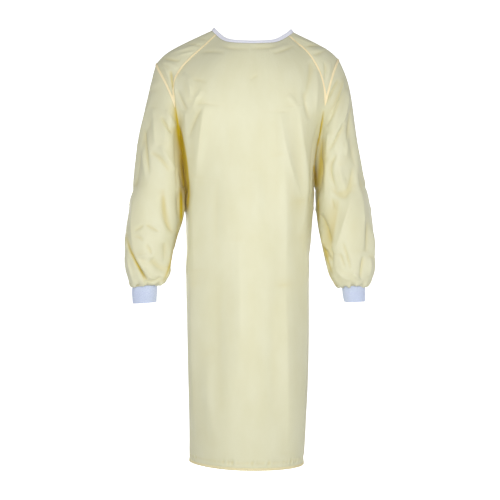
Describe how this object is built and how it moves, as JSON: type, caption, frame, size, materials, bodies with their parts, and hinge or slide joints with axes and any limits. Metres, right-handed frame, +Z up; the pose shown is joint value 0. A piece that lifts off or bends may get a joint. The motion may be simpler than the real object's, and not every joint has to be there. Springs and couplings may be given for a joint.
{
  "type": "isolation gown",
  "caption": "Long-sleeved woven isolation gown in its worn shape, empty, with raglan seams, shoulder yokes, knit cuffs, a bound round neck and ties at the open back",
  "frame": {"origin": "midway between the two points where the neck edge meets the shoulders, at their height and depth, where the wearer's shoulders hold the gown up", "axes": "+Z up, along the gown's length; -Y the way the wearer faces; +X the wearer's left"},
  "size_m": [0.6829, 0.2675, 1.1984],
  "materials": {
    "yellow_cloth": "pale yellow closely woven polyester with a soft sheen",
    "white_knit": "cool white rib knit and knit binding",
    "peach_tape": "peach turned edge and seam tape, matt"
  },
  "bodies": {
    "root": {"back_hem_left": "peach_tape", "back_hem_right": "peach_tape", "back_panel_left": "yellow_cloth", "back_panel_right": "yellow_cloth", "cuff_left": "white_knit", "cuff_right": "white_knit", "front_hem": "peach_tape", "front_panel": "yellow_cloth", "neck_binding": "white_knit", "neck_tie_knot": "yellow_cloth", "neck_tie_left": "yellow_cloth", "neck_tie_right": "yellow_cloth", "neck_tie_strap_left": "yellow_cloth", "neck_tie_strap_right": "yellow_cloth", "seam_tape_left": "peach_tape", "seam_tape_right": "peach_tape", "sleeve_left": "yellow_cloth", "sleeve_right": "yellow_cloth", "waist_tie_knot": "yellow_cloth", "waist_tie_left": "yellow_cloth", "waist_tie_right": "yellow_cloth", "waist_tie_strap_left": "yellow_cloth", "waist_tie_strap_right": "yellow_cloth", "yoke_left": "yellow_cloth", "yoke_right": "yellow_cloth"}
  },
  "joints": []
}
